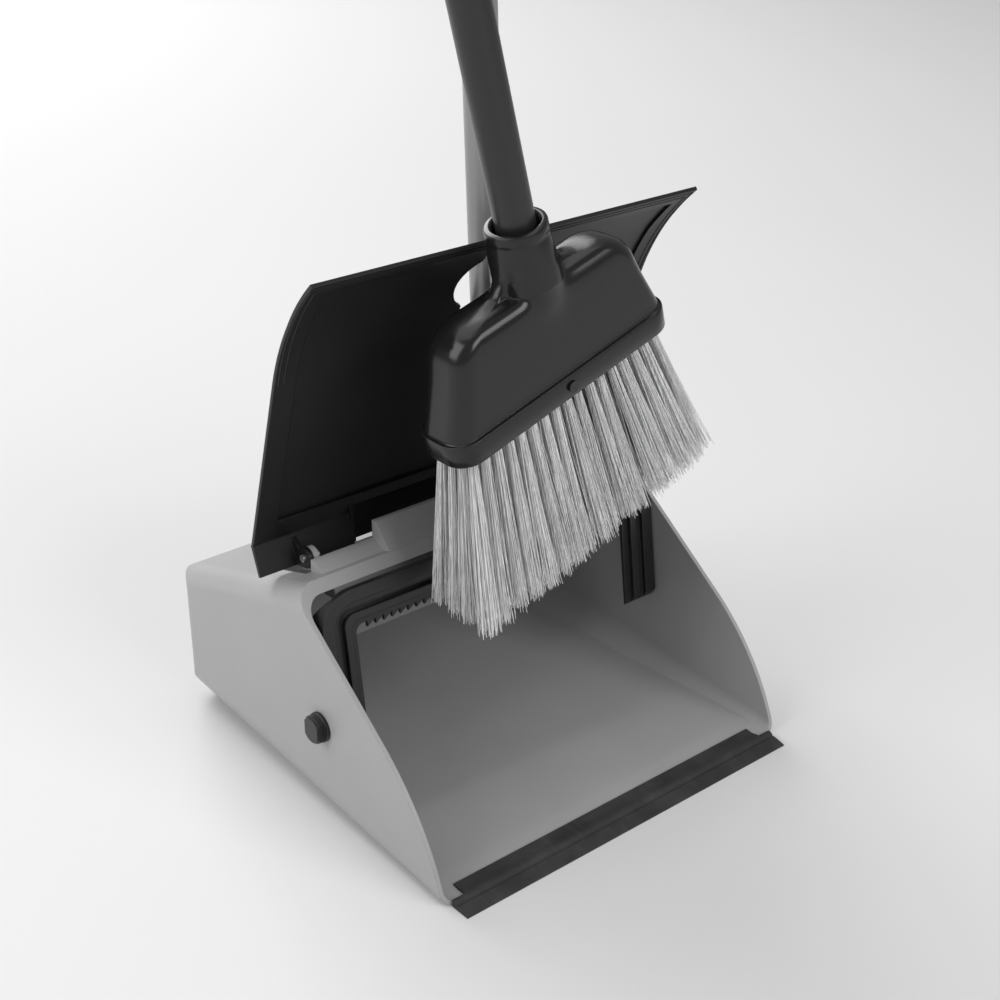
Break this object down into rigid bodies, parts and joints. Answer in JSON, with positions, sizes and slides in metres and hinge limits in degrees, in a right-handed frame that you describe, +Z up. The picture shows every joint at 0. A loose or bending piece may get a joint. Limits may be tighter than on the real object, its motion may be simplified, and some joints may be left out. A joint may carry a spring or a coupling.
{
  "type": "dust pan and brush set",
  "caption": "Upright lidded dust pan on a swinging pole with a soft lip strip, and a long-handled angled broom held above its mouth.",
  "frame": {"origin": "on the floor, under the middle of the pan's flat underside", "axes": "+Z up; -Y points out of the pan's mouth, over the lip strip; +X runs along the lip, to the right of a person who faces the mouth"},
  "size_m": [0.3877, 0.3105, 1.059],
  "materials": {
    "pan_plastic": "fine matte moulded grain, light grey",
    "lid_plastic": "near-black, finely grained, satin on the back",
    "frame_plastic": "near-black moulded plastic, satin",
    "lip_rubber": "dark flexible strip, dull",
    "pole_paint": "light grey powder-coated steel tube",
    "broom_tube_paint": "charcoal powder-coated steel tube, semi-gloss",
    "head_plastic": "charcoal moulded plastic, soft gloss",
    "cap_plastic": "dark end cap, satin",
    "block_plastic": "dark block the tufts are set in",
    "bristle_fibre": "pale grey synthetic filaments with split tips",
    "zinc_steel": "zinc-plated pin and screw steel"
  },
  "bodies": {
    "pan": {"pan_body": "pan_plastic", "lip_strip": "lip_rubber", "hinge_pin_left": "zinc_steel", "hinge_pin_right": "zinc_steel"},
    "lid": {"lid": "lid_plastic"},
    "pole": {"pivot_frame": "frame_plastic", "pivot_knob_left": "frame_plastic", "pivot_knob_right": "frame_plastic", "pole_tube": "pole_paint", "pole_screw": "zinc_steel", "pole_cap": "cap_plastic"},
    "broom": {"broom_head": "head_plastic", "bristle_block": "block_plastic", "block_screw": "zinc_steel", "tuft_row_front": "bristle_fibre", "tuft_row_mid_front": "bristle_fibre", "tuft_row_mid_rear": "bristle_fibre", "tuft_row_rear": "bristle_fibre", "broom_tube": "broom_tube_paint", "broom_cap": "cap_plastic"}
  },
  "joints": [
    {"name": "pole_swing", "type": "hinge", "parent": "pan", "child": "pole", "pos_m": [0, -0.0245, 0.0665], "axis": [1, 0, 0], "range_deg": [0, 90]},
    {"name": "lid_swing", "type": "hinge", "parent": "pan", "child": "lid", "pos_m": [0, 0.029, 0.154], "axis": [1, 0, 0], "range_deg": [0, 107.2]},
    {"name": "broom_lift", "type": "slide", "parent": "pan", "child": "broom", "axis": [-0.5515, -0.752, 0.361], "range_m": [0, 0.597]}
  ],
  "couplings": [
    {"joint": "lid_swing", "follows": "pole_swing", "ratio": 1.1905},
    {"joint": "broom_lift", "follows": "pole_swing", "m_per_rad": 0.38}
  ]
}
